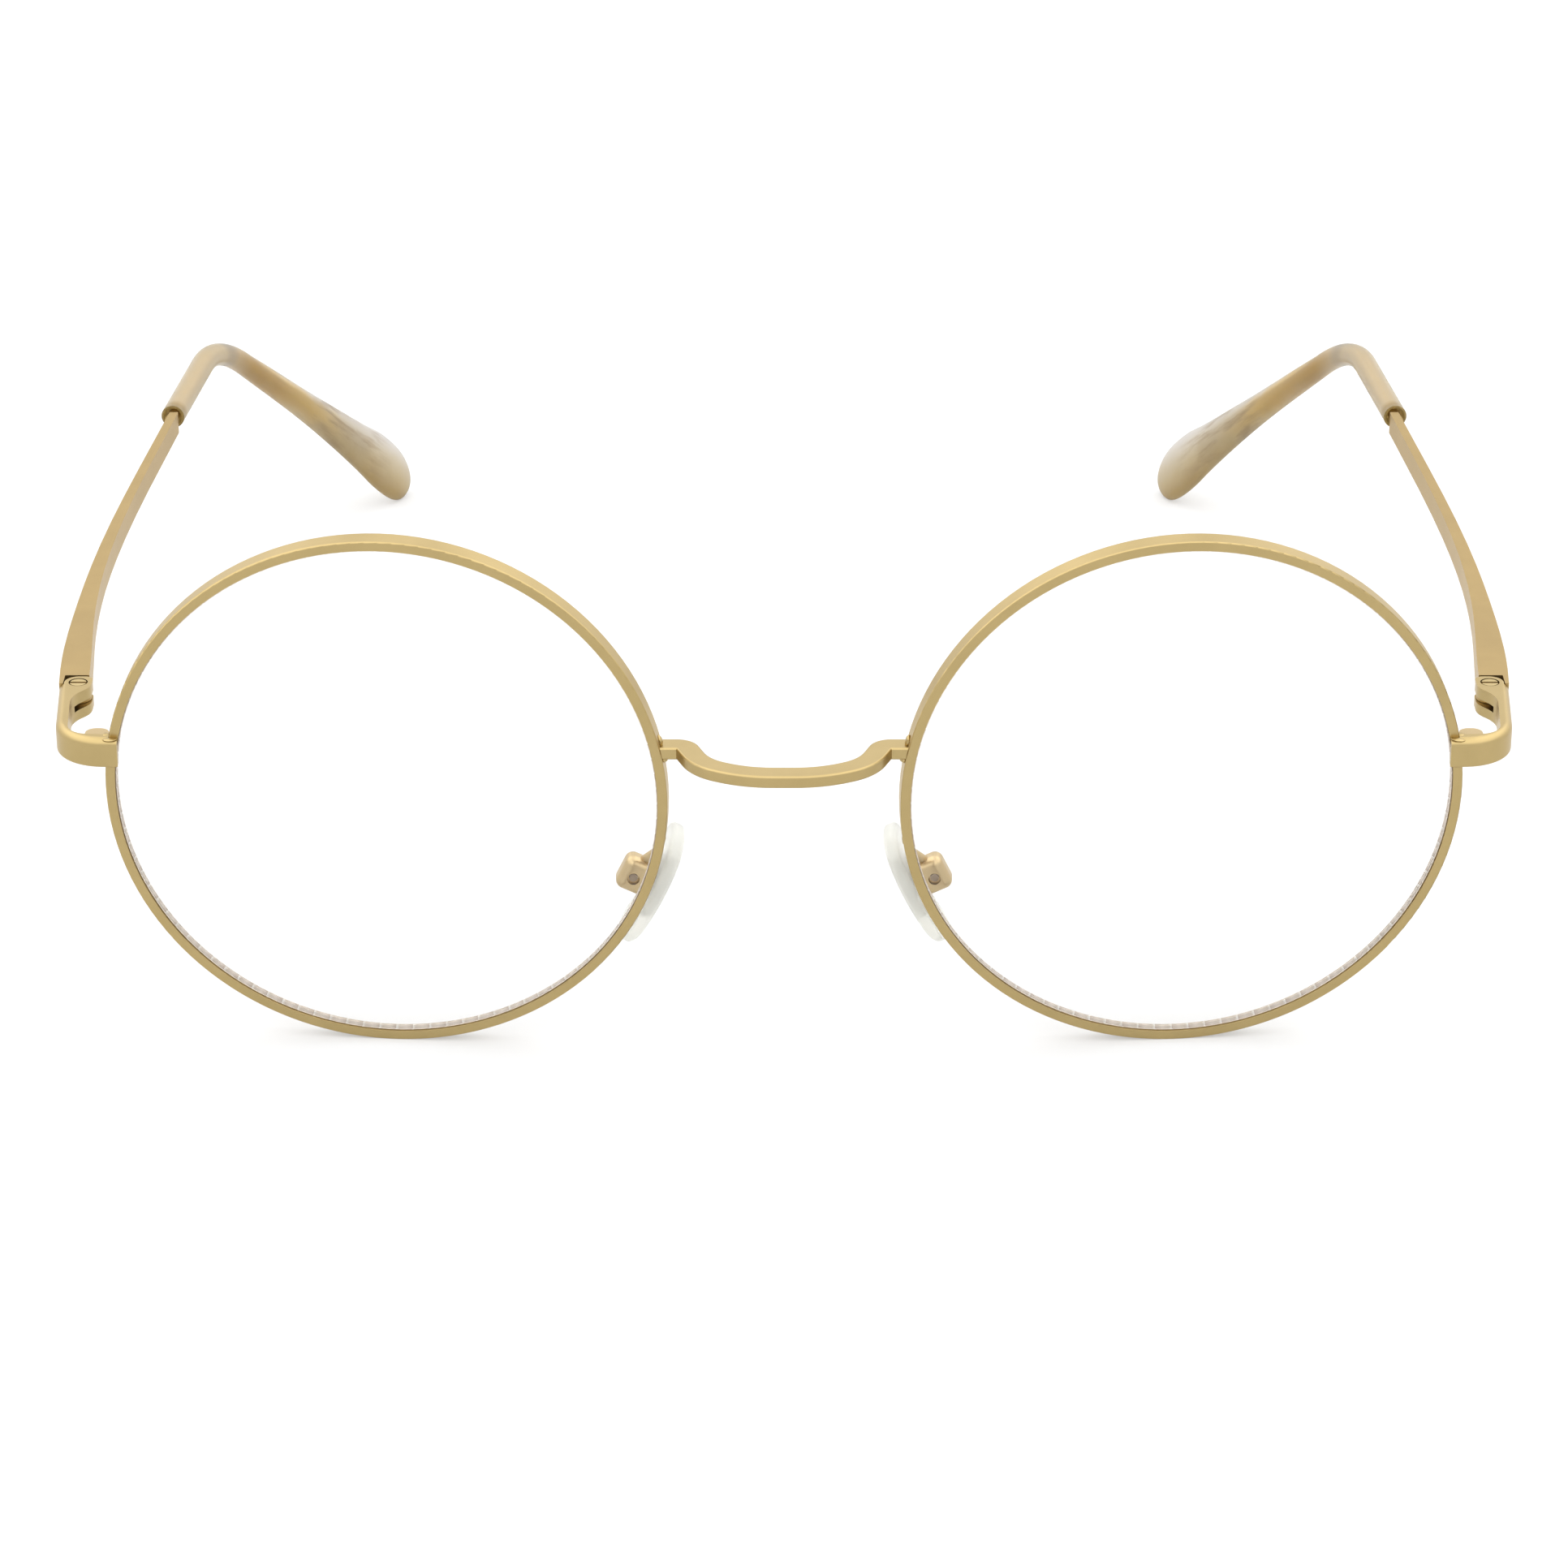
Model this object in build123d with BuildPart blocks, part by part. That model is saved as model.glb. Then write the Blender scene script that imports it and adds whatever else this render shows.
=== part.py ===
from build123d import *
import os
from math import cos, radians, sin, tan

# Round metal eyeglasses, temples open.  Millimetres.
# +Z is up and the object stands on z = 0: both rims and both temple tips touch it.
# +X is the wearer's left, so the plane x = 0 is the mirror plane.  +Y points back to the head.
# The right half is modelled first.  The left half is its mirror image.

os.makedirs("parts", exist_ok=True)

# ---------------------------------------------------------------- driving dimensions
margin = 1.0                   # how far cutting shapes reach past what they cut
overall_depth = 149.2          # from the bridge's front to the backs of the temple tips
bridge_reach = 8.05            # how far the bridge's front stands ahead of the rims
front_y = bridge_reach - overall_depth / 2     # y of the rims' front faces at their centres

# rims and lenses
rim_outer_radius = 26.08
rim_wall = 0.91
rim_depth = 1.92
rim_round = 0.14
rim_centre_x = 36.74
pantoscopic_tilt = 3.4         # tops of the lenses lean forward, degrees
wrap_angle = 3.8               # noses of the lenses stand forward, degrees
rim_centre_z = rim_outer_radius * cos(radians(pantoscopic_tilt))
groove_depth = 0.42
groove_half_width = 0.55
rim_split = 0.12               # saw cut that lets the rim open to take its lens
split_reach = 3.6              # size of the cutting box round the rim's section
lens_edge_radius = 25.1
bevel_radius = 25.55
lens_thickness = 1.5
lens_edge_setback = 0.22       # front of the lens edge behind the rim's front face
lens_base_radius = 190.0
edge_land = 0.16               # flat between the bevel and each face of the lens

# end pieces and hinges
joint_z = 30.03                # mid height of end pieces, hinges and temples
joint_height = 2.85
joint_bottom = joint_z - joint_height / 2
joint_top = joint_z + joint_height / 2
joint_round = 0.25
front_round = 0.7              # the end pieces' upper outer edges are rounder
hinge_x = -66.45
hinge_y = 13.9                 # behind the rims' front faces
ear_radius = 1.32
ear_side = 1.3
stop_y = hinge_y - 0.3         # the temples' lips meet the end pieces here
stop_outer_x = -68.2
ear_thickness = 1.12
slot_length = 3.2              # saw slot ahead of the hinge's axis
slot_radius = 1.36
screw_radius = 0.60
screw_head_radius = 0.78
screw_head_height = 0.55
head_sink = 0.03               # the head lies this far below the upper ear's top
driver_slot = 0.3              # width and depth of the slot in the head
head_clearance = 0.12
running_clearance = 0.04
axial_clearance = 0.05
knuckle_radius = 1.20
knuckle_neck = 1.7
slot_shift = 0.1               # the knuckle's neck lies a little inwards of the axis
ear_corner_round = 0.75
outer_bend = 4.8
inner_bend = 2.1
arm_front_inner = (-61.4, 0.75)
arm_front_corner = (-67.2, 1.05)
arm_back_corner = (-66.12, 2.3)
arm_back_inner = (-61.4, 1.95)
waist = (-66.05, 11.55)        # the inner side narrows from the ears to the bend
waist_start = (-66.68, 9.2)
ear_end_y = hinge_y - 0.4

# rim locks: the closing blocks behind the end pieces
block_back = 3.75
block_round = 0.95
lock_gap = 0.08
lock_screw_radius = 0.42
lock_head_radius = 0.66
lock_head_height = 0.5
lock_screw_end = 0.25          # the screw ends this far below the upper block's top
lock_driver_slot = 0.22
lock_screw_x = -63.6
lock_screw_y = 2.85
lock_bottom = joint_bottom + 0.1
lock_top = joint_top - 0.15
block_outer_x = -64.5
block_rim_x = -62.3

# temples
temple_end_face = hinge_y + 1.6
temple_bar_end = 85.4
temple_height = 2.3
taper_start = 17.0
taper_end = 34.0
lip_inner = hinge_x - 1.40
stop_gap = 0.04
lip_outer = (-68.22, stop_y + stop_gap)
core_radius = 0.62
core_root = 1.3                # length of the core inside the bar's end
bar_end_round = 0.35
bar_outer_side = [(-68.76, 22.0), (-68.86, 31.0), (-68.42, 46.4), (-66.95, 66.0)]
bar_inner_side = [(-65.95, 66.0), (-66.85, 52.8), (-67.17, 41.0), (-66.67, 28.5), (-66.05, 21.6)]
bar_end_outer = (-65.12, temple_bar_end)
bar_end_inner = [(-64.7, temple_bar_end), (-64.38, temple_bar_end - 0.13), (-64.25, temple_bar_end - 0.45)]
root_inner_x = -65.58
root_overlap = 0.2             # the knuckle's neck runs this far into the bar
profile_start_x = -75.0        # the side profile is cut through this range of x
profile_width = 20.0
core_lift = 0.25               # the core leaves the bar a little above its middle

# temple tips
tip_radius = 1.23
tip_mouth_y = 86.1
bend_radius = 17.0
tip_bow = 0.3                  # the lower part of the tip is slightly arched
tip_mouth_x = -64.95
tip_corner_xy = (-62.6, 108.5)
tip_end_point = (-45.5, 138.55, 2.74)
# distance from the bend's corner, then the width and thickness there
core_sections = [(20.0, 1.4, 1.15), (28.0, 1.9, 0.8), (36.0, 2.1, 0.6)]
tip_sections = [
    (12.5, 2.93, 2.42),
    (18.5, 3.36, 2.40),
    (24.4, 4.00, 2.42),
    (30.8, 4.98, 2.50),
    (37.0, 6.28, 2.60),
    (40.8, 6.94, 2.60),
    (43.55, 6.60, 2.50),
    (45.35, 5.34, 2.20),
    (46.38, 3.42, 1.70),
    (46.82, 1.36, 0.80),
]
mouth_bore_radius = 0.98
mouth_bore_depth = 0.7

# bridge wire
bridge_width = 2.2
bridge_height = 1.19
bridge_top = 31.8
bridge_round = 0.22
bridge_half = [(-11.6, -0.75), (-9.1, -0.75), (-7.6, -4.8), (-3.4, -6.95)]
bridge_bends = [1.1, 5.0, 10.0]

# nose pads, pad boxes and pad arms
pad_box = Vector(-14.25, 7.3, 14.87)   # where the pad's screw crosses the box
pad_thickness = 1.35
pad_half_height = 6.2
pad_half_width = 3.0
pad_edge_round = 0.45
pad_end_round = 2.6            # corner radius of the pads' outline
pad_tilt = 26.5                # the pads' lower ends stand apart, degrees
pad_splay = 3.5                # the pads' back edges stand apart, degrees
pad_curve_radius = 30.0        # the pads are bowed along their length
pad_offset = (2.72, -0.52, 0.6)  # pad's centre from the box: to the nose, up, back
pad_screw_radius = 0.40
insert_half_width = 1.7
insert_half_height = 3.2
insert_thickness = 0.7
insert_setback = 0.45
boss_width = 1.1               # the insert's boss that turns on the pad screw
boss_half_height = 0.72
boss_reach = 2.4
cavity_width = 1.3
cavity_height = 2.0
cavity_back = -0.85
box_width = 2.4
box_height = 3.5
box_lift = 0.2                # the box reaches further above its screw than below it
box_back = -1.35
box_mouth = 1.12
box_corner_round = 0.85
box_back_round = 0.8
screw_sink = 0.3               # the screw's front end lies this far inside its hole
screw_hole_radius = 0.58       # wider mouth of the screw's hole, in front
screw_hole_depth = 0.5
arm_radius = 0.5
arm_bend = 1.2
arm_points = [(-11.64, 0.42, 21.08), (-11.5, 3.4, 20.2), (-12.0, 6.5, 17.5)]
arm_entry = (1.4, 0.2)       # the arm's end in the box: up, to the nose

plan = Plane((0, front_y, 0))  # y is measured back from the rims' front faces
right = {}                     # finished right-hand pieces by name

# ---------------------------------------------------------------- lens frame, right side
lens_centre = Vector(-rim_centre_x, front_y, rim_centre_z)
lens_up = Vector(0, -sin(radians(pantoscopic_tilt)), cos(radians(pantoscopic_tilt)))
lens_inward = Vector(1, 0, 0).rotate(Axis((0, 0, 0), lens_up), -wrap_angle)
lens_plane = Plane(origin=lens_centre, x_dir=lens_inward, z_dir=lens_inward.cross(lens_up))
section_plane = Plane(origin=lens_centre, x_dir=lens_inward, z_dir=-lens_up)
lens_axis = Axis(lens_centre, lens_plane.z_dir)
rim_inner_radius = rim_outer_radius - rim_wall
mid_depth = -rim_depth / 2

# ---------------------------------------------------------------- rim: a grooved ring, split
with BuildPart() as rim:
    with BuildSketch(section_plane):
        Polygon(
            (rim_inner_radius, 0),
            (rim_outer_radius, 0),
            (rim_outer_radius, -rim_depth),
            (rim_inner_radius, -rim_depth),
            (rim_inner_radius, mid_depth - groove_half_width),
            (rim_inner_radius + groove_depth, mid_depth),
            (rim_inner_radius, mid_depth + groove_half_width),
            align=None,
        )
        fillet(vertices().group_by(Axis.X)[-1], rim_round)
    revolve(axis=lens_axis)
    with BuildSketch(plan.offset(joint_z - rim_split / 2)):
        with Locations((-rim_centre_x - rim_outer_radius, rim_depth)):
            Rectangle(split_reach, 2 * split_reach)
    extrude(amount=rim_split, mode=Mode.SUBTRACT)
right["rim"] = rim.part

# the whole room inside the rim's outer edge, kept clear of what is brazed to the rim
with BuildPart() as rim_disc:
    with BuildSketch(lens_plane):
        Circle(rim_outer_radius)
    extrude(amount=-rim_depth)

# ---------------------------------------------------------------- lens: a bevelled meniscus
front_edge = -lens_edge_setback
back_edge = front_edge - lens_thickness
sphere_rise = (lens_base_radius ** 2 - lens_edge_radius ** 2) ** 0.5

with BuildPart() as lens:
    with BuildSketch(section_plane):
        Polygon(
            (0, lens_thickness + margin),
            (lens_edge_radius, lens_thickness + margin),
            (lens_edge_radius, front_edge - edge_land),
            (bevel_radius, mid_depth),
            (lens_edge_radius, back_edge + edge_land),
            (lens_edge_radius, back_edge - margin),
            (0, back_edge - margin),
            align=None,
        )
    revolve(axis=lens_axis)
    with Locations(lens_centre + lens_plane.z_dir * (front_edge - sphere_rise)):
        Sphere(lens_base_radius, mode=Mode.INTERSECT)
    with Locations(lens_centre + lens_plane.z_dir * (back_edge - sphere_rise)):
        Sphere(lens_base_radius, mode=Mode.SUBTRACT)
right["lens"] = lens.part

# ---------------------------------------------------------------- end piece with its two ears
stop_x = hinge_x - (ear_radius ** 2 - (hinge_y - stop_y) ** 2) ** 0.5


def is_outer(edge):
    """Whether an edge lies on the end piece's outer side, from the rim round the bend."""
    middle = edge @ 0.5
    ahead = middle.Y - front_y
    return ahead < arm_front_corner[1] + joint_round or (middle.X < arm_front_corner[0] and ahead < stop_y)


with BuildPart() as end_piece:
    with BuildSketch(plan.offset(joint_bottom)):
        with BuildLine():
            FilletPolyline(arm_front_inner, arm_front_corner, (stop_outer_x, stop_y), radius=outer_bend)
            Line((stop_outer_x, stop_y), (stop_x, stop_y))
            ThreePointArc(
                (stop_x, stop_y),
                (hinge_x - ear_radius * cos(radians(45)), hinge_y + ear_radius * sin(radians(45))),
                (hinge_x, hinge_y + ear_radius),
            )
            FilletPolyline(
                (hinge_x, hinge_y + ear_radius),
                (hinge_x + ear_side, hinge_y + ear_radius),
                (hinge_x + ear_side, ear_end_y),
                radius=ear_corner_round,
            )
            Spline(
                (hinge_x + ear_side, ear_end_y),
                waist,
                waist_start,
                tangents=((0, -1), (0.08, -1)),
            )
            FilletPolyline(waist_start, arm_back_corner, arm_back_inner, radius=inner_bend)
            Line(arm_back_inner, arm_front_inner)
        make_face()
    extrude(amount=joint_height)
    fillet(faces().sort_by(Axis.Z)[0].edges(), joint_round)
    top_edges = faces().sort_by(Axis.Z)[-1].edges()
    fillet(top_edges.filter_by(is_outer), front_round)
    # the slot that takes the temple's knuckle
    with BuildSketch(plan.offset(joint_bottom + ear_thickness)):
        with Locations((hinge_x, hinge_y)):
            Circle(slot_radius)
        with Locations((hinge_x + slot_shift - knuckle_neck / 2, hinge_y - slot_length)):
            Rectangle(2 * ear_side, slot_length, align=Align.MIN)
        with Locations((hinge_x + ear_side, hinge_y)):
            Rectangle(2 * ear_side, 2 * slot_radius)
    extrude(amount=joint_height - 2 * ear_thickness, mode=Mode.SUBTRACT)
    with Locations((hinge_x, front_y + hinge_y, joint_top)):
        CounterBoreHole(
            radius=screw_radius + running_clearance,
            counter_bore_radius=screw_head_radius + head_clearance,
            counter_bore_depth=screw_head_height,
            depth=joint_height / 2,
        )
    with Locations((hinge_x, front_y + hinge_y, joint_bottom + ear_thickness)):
        Hole(radius=screw_radius, depth=ear_thickness)
    # the arm ends against the rim's outer edge and front face
    add(rim_disc.part, mode=Mode.SUBTRACT)
right["end_piece"] = end_piece.part

# ---------------------------------------------------------------- hinge screw, slotted head
with BuildPart() as hinge_screw:
    with BuildSketch(plan.offset(joint_bottom)):
        with Locations((hinge_x, hinge_y)):
            Circle(screw_radius)
    extrude(amount=joint_height - screw_head_height)
    with BuildSketch(plan.offset(joint_top - screw_head_height)):
        with Locations((hinge_x, hinge_y)):
            Circle(screw_head_radius)
    extrude(amount=screw_head_height - head_sink)
    with BuildSketch(plan.offset(joint_top)):
        with Locations((hinge_x, hinge_y)):
            Rectangle(2 * screw_head_radius, driver_slot)
    extrude(amount=-driver_slot, mode=Mode.SUBTRACT)
right["hinge_screw"] = hinge_screw.part

# ---------------------------------------------------------------- rim lock blocks and screw


def arm_back_y(x):
    """Back face of the end piece's front arm, which the block is brazed to."""
    slope = (arm_back_inner[1] - arm_back_corner[1]) / (arm_back_inner[0] - arm_back_corner[0])
    return arm_back_corner[1] + slope * (x - arm_back_corner[0])


def lock_block(bottom, top):
    """One half of the closing block, on its own side of the rim's split."""
    with BuildPart() as block:
        with BuildSketch(plan.offset(bottom)):
            Polygon(
                (block_outer_x, arm_back_y(block_outer_x)),
                (block_rim_x, arm_back_y(block_rim_x)),
                (block_rim_x, block_back),
                (block_outer_x, block_back),
                align=None,
            )
            fillet(vertices().group_by(Axis.Y)[-1], block_round)
        extrude(amount=top - bottom)
        add(rim_disc.part, mode=Mode.SUBTRACT)
        # the screw's hole opens below and ends inside the upper block
        with BuildSketch(plan.offset(lock_bottom)):
            with Locations((lock_screw_x, lock_screw_y)):
                Circle(lock_screw_radius)
        extrude(amount=lock_top - lock_bottom - lock_screw_end, mode=Mode.SUBTRACT)
        with BuildSketch(plan.offset(lock_bottom)):
            with Locations((lock_screw_x, lock_screw_y)):
                Circle(lock_head_radius)
        extrude(amount=lock_head_height, mode=Mode.SUBTRACT)
    return block.part


right["rim_lock_upper"] = lock_block(joint_z + lock_gap / 2, lock_top)
right["rim_lock_lower"] = lock_block(lock_bottom, joint_z - lock_gap / 2)

with BuildPart() as lock_screw:
    with BuildSketch(plan.offset(lock_bottom)):
        with Locations((lock_screw_x, lock_screw_y)):
            Circle(lock_head_radius)
    extrude(amount=lock_head_height)
    with BuildSketch(plan.offset(lock_bottom)):
        with Locations((lock_screw_x, lock_screw_y)):
            Circle(lock_screw_radius)
    extrude(amount=lock_top - lock_bottom - lock_screw_end)
    with BuildSketch(plan.offset(lock_bottom)):
        with Locations((lock_screw_x, lock_screw_y)):
            Rectangle(2 * lock_head_radius, lock_driver_slot)
    extrude(amount=lock_driver_slot, mode=Mode.SUBTRACT)
right["rim_lock_screw"] = lock_screw.part

# ---------------------------------------------------------------- temple: bar, knuckle and core
core_z = joint_z + core_lift
tip_mouth = Vector(tip_mouth_x, front_y + tip_mouth_y, core_z)
tip_corner = Vector(tip_corner_xy[0], front_y + tip_corner_xy[1], core_z)
tip_end = Vector(*tip_end_point) + Vector(0, front_y, 0)
tip_direction = (tip_end - tip_corner).normalized()
tip_length = (tip_end - tip_corner).length
tip_entry = (tip_corner - tip_mouth).normalized()
bend_turn = tip_entry.get_angle(tip_direction)
bend_reach = bend_radius * tan(radians(bend_turn / 2))
paddle_up = Vector(0, -tip_direction.Z, tip_direction.Y).normalized()
core_start = tip_mouth - tip_entry * core_root


def tip_station(distance):
    """Plane square to the lower part of the tip, its x across the paddle's width."""
    along = (distance - bend_reach) / (tip_length - bend_reach)
    bow = paddle_up * tip_bow * sin(radians(180 * min(max(along, 0), 1)))
    return Plane(origin=tip_corner + tip_direction * distance + bow, x_dir=paddle_up, z_dir=tip_direction)


def bent_rod(start, radius, sections):
    """Round rod along the temple, round its bend, then flattened towards the end."""
    with BuildPart() as rod:
        with BuildLine():
            lead = Line(start, tip_corner - tip_entry * bend_reach)
            TangentArc(lead @ 1, tip_corner + tip_direction * bend_reach, tangent=tip_entry)
        with BuildSketch(Plane(origin=start, z_dir=tip_entry)):
            Circle(radius)
        sweep()
        for distance, width, thickness in [(bend_reach, 2 * radius, 2 * radius)] + sections:
            with BuildSketch(tip_station(distance)):
                Ellipse(width / 2, thickness / 2)
        loft()
    return rod.part


core = bent_rod(core_start, core_radius, core_sections)
bar_half = temple_height / 2
root_half = joint_height / 2
bar_start = front_y + stop_y + stop_gap
knuckle_height = joint_height - 2 * ear_thickness - 2 * axial_clearance
neck_length = temple_end_face - hinge_y + root_overlap

with BuildPart() as temple:
    # seen from above: a wide root with an outer lip, and a bar that narrows to the rear
    with BuildSketch(plan.offset(joint_bottom)):
        with BuildLine():
            Spline(lip_outer, *bar_outer_side, bar_end_outer)
            Line(bar_end_outer, bar_end_inner[0])
            ThreePointArc(*bar_end_inner)
            Spline(bar_end_inner[-1], *bar_inner_side, (root_inner_x, temple_end_face))
            Polyline(
                (root_inner_x, temple_end_face),
                (lip_inner, temple_end_face),
                (lip_inner, stop_y + stop_gap),
                lip_outer,
            )
        make_face()
    extrude(amount=joint_height)
    # seen from the side: full height at the hinge, lower along the bar
    with BuildSketch(Plane.YZ.offset(profile_start_x)):
        with BuildLine():
            FilletPolyline(
                (front_y + taper_end, joint_z + bar_half),
                (front_y + temple_bar_end, joint_z + bar_half),
                (front_y + temple_bar_end, joint_z - bar_half),
                (front_y + taper_end, joint_z - bar_half),
                radius=bar_end_round,
            )
            Spline(
                (front_y + taper_end, joint_z - bar_half),
                (front_y + taper_start, joint_z - root_half),
                tangents=((-1, 0), (-1, 0)),
            )
            Polyline(
                (front_y + taper_start, joint_z - root_half),
                (bar_start, joint_z - root_half),
                (bar_start, joint_z + root_half),
                (front_y + taper_start, joint_z + root_half),
            )
            Spline(
                (front_y + taper_start, joint_z + root_half),
                (front_y + taper_end, joint_z + bar_half),
                tangents=((1, 0), (1, 0)),
            )
        make_face()
    extrude(amount=profile_width, mode=Mode.INTERSECT)
    # the knuckle that turns on the hinge screw, between the ears
    with BuildSketch(plan.offset(joint_z - knuckle_height / 2)):
        with Locations((hinge_x, hinge_y)):
            Circle(knuckle_radius)
        with Locations((hinge_x, hinge_y + neck_length / 2)):
            Rectangle(knuckle_neck, neck_length)
    extrude(amount=knuckle_height)
    with Locations((hinge_x, front_y + hinge_y, joint_z + knuckle_height / 2)):
        Hole(radius=screw_radius + running_clearance, depth=knuckle_height)
    add(core)
right["temple"] = temple.part

# ---------------------------------------------------------------- temple tip: sleeve and paddle
with BuildPart() as temple_tip:
    add(bent_rod(tip_mouth, tip_radius, tip_sections))
    with BuildSketch(Plane(origin=tip_mouth, z_dir=tip_entry)):
        Circle(mouth_bore_radius)
    extrude(amount=mouth_bore_depth, mode=Mode.SUBTRACT)
    add(core, mode=Mode.SUBTRACT)
right["temple_tip"] = temple_tip.part

# ---------------------------------------------------------------- nose pad, insert, box, arm
outward = -sin(radians(pad_splay))
pad_back = Vector(outward, cos(radians(pad_splay)), 0)
pad_up = Vector(sin(radians(pad_tilt)), 0, cos(radians(pad_tilt)))
box_plane = Plane(origin=pad_box + Vector(0, front_y, 0), x_dir=pad_back, z_dir=pad_back.cross(pad_up))
screw_plane = Plane(origin=box_plane.origin, x_dir=box_plane.z_dir, z_dir=-box_plane.x_dir)
pad_plane = box_plane.offset(pad_offset[0])
pad_plane.origin = pad_plane.origin + box_plane.y_dir * pad_offset[1] + box_plane.x_dir * pad_offset[2]
curve_plane = Plane(origin=pad_plane.origin, x_dir=pad_plane.z_dir, z_dir=-pad_plane.x_dir)

with BuildPart() as pad_shape:
    with BuildSketch(pad_plane):
        RectangleRounded(2 * pad_half_width, 2 * pad_half_height, pad_end_round)
    extrude(amount=pad_half_width, both=True)
    with BuildSketch(curve_plane):
        with Locations((-pad_curve_radius, 0)):
            Circle(pad_curve_radius + pad_thickness / 2)
            Circle(pad_curve_radius - pad_thickness / 2, mode=Mode.SUBTRACT)
    extrude(amount=pad_half_height, both=True, mode=Mode.INTERSECT)
    fillet(edges(), pad_edge_round)

with BuildPart() as pad_insert:
    with BuildSketch(pad_plane.offset(-insert_setback)):
        Ellipse(insert_half_width, insert_half_height)
    extrude(amount=insert_thickness)
    with BuildSketch(screw_plane):
        Circle(boss_half_height)
        with Locations((boss_reach / 2, 0)):
            Rectangle(boss_reach, 2 * boss_half_height)
    extrude(amount=boss_width / 2, both=True)
    with BuildSketch(screw_plane):
        Circle(pad_screw_radius + running_clearance)
    extrude(amount=boss_width, both=True, mode=Mode.SUBTRACT)
right["pad_insert"] = pad_insert.part

with BuildPart() as nose_pad:
    add(pad_shape.part)
    add(pad_insert.part, mode=Mode.SUBTRACT)
right["nose_pad"] = nose_pad.part

with BuildPart() as pad_cup:
    with BuildSketch(box_plane.offset(box_back)):
        with Locations((0, box_lift)):
            RectangleRounded(box_width, box_height, box_corner_round)
    extrude(amount=box_mouth - box_back)
    fillet(faces().sort_by(Axis(box_plane.origin, box_plane.z_dir))[0].edges(), box_back_round)
    with BuildSketch(box_plane.offset(box_mouth)):
        Rectangle(cavity_width, cavity_height)
    extrude(amount=cavity_back - box_mouth, mode=Mode.SUBTRACT)
    with BuildSketch(screw_plane):
        Circle(pad_screw_radius)
    extrude(amount=box_width, both=True, mode=Mode.SUBTRACT)
    with BuildSketch(screw_plane.offset(box_width / 2)):
        Circle(screw_hole_radius)
    extrude(amount=-screw_hole_depth, mode=Mode.SUBTRACT)
right["pad_box"] = pad_cup.part

with BuildPart() as pad_screw:
    with BuildSketch(screw_plane.offset(box_width / 2 - screw_sink)):
        Circle(pad_screw_radius)
    extrude(amount=screw_sink - box_width)
right["pad_screw"] = pad_screw.part

with BuildPart() as pad_arm:
    with BuildLine():
        arm_path = FilletPolyline(
            *[Vector(x, front_y + y, z) for x, y, z in arm_points],
            box_plane.origin + box_plane.y_dir * arm_entry[0] + box_plane.z_dir * arm_entry[1],
            radius=arm_bend,
        )
    with BuildSketch(Plane(origin=arm_path @ 0, z_dir=arm_path % 0)):
        Circle(arm_radius)
    sweep()
    add(rim.part, mode=Mode.SUBTRACT)
    add(lens.part, mode=Mode.SUBTRACT)
    add(pad_cup.part, mode=Mode.SUBTRACT)
    add(pad_screw.part, mode=Mode.SUBTRACT)
right["pad_arm"] = pad_arm.part

# ---------------------------------------------------------------- left side and bridge
left = {}
for name, piece in right.items():
    with BuildPart() as mirrored:
        mirror(piece, about=Plane.YZ)
    left[name] = mirrored.part

bridge_z = bridge_top - bridge_height / 2

with BuildPart() as bridge:
    with BuildLine(plan.offset(bridge_z)):
        FilletPolyline(
            *bridge_half,
            *[(-x, y) for x, y in reversed(bridge_half)],
            radius=bridge_bends + bridge_bends[::-1],
        )
    bridge_start = Vector(bridge_half[0][0], front_y + bridge_half[0][1], bridge_z)
    with BuildSketch(Plane(bridge_start, x_dir=(0, 1, 0), z_dir=(1, 0, 0))):
        Rectangle(bridge_width, bridge_height)
        fillet(vertices(), bridge_round)
    sweep()
    add(rim_disc.part, mode=Mode.SUBTRACT)
    mirror(rim_disc.part, about=Plane.YZ, mode=Mode.SUBTRACT)

# ---------------------------------------------------------------- one file for each piece
pieces = {"bridge": bridge.part}
for name in right:
    pieces["right_" + name] = right[name]
    pieces["left_" + name] = left[name]

for name, piece in pieces.items():
    piece.label = name
    export_step(piece, f"parts/{name}.step")
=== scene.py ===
import math

import bmesh
import bpy
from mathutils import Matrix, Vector
from mathutils.bvhtree import BVHTree
from mathutils.noise import fractal


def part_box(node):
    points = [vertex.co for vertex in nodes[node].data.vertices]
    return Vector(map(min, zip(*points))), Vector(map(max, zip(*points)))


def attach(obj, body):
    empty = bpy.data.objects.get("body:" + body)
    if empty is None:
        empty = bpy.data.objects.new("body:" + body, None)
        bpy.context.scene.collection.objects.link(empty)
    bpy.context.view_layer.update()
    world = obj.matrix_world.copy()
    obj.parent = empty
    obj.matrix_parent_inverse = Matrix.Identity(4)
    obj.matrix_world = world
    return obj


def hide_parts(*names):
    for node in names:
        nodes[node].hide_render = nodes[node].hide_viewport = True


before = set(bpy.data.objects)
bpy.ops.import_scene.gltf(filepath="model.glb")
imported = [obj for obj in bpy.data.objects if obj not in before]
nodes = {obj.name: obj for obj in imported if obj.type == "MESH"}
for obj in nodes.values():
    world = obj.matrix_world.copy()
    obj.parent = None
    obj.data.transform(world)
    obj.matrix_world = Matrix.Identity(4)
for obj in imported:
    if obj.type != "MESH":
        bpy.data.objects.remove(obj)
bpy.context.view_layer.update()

MM = 0.001
SIDES = {"right": -1, "left": 1}

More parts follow.
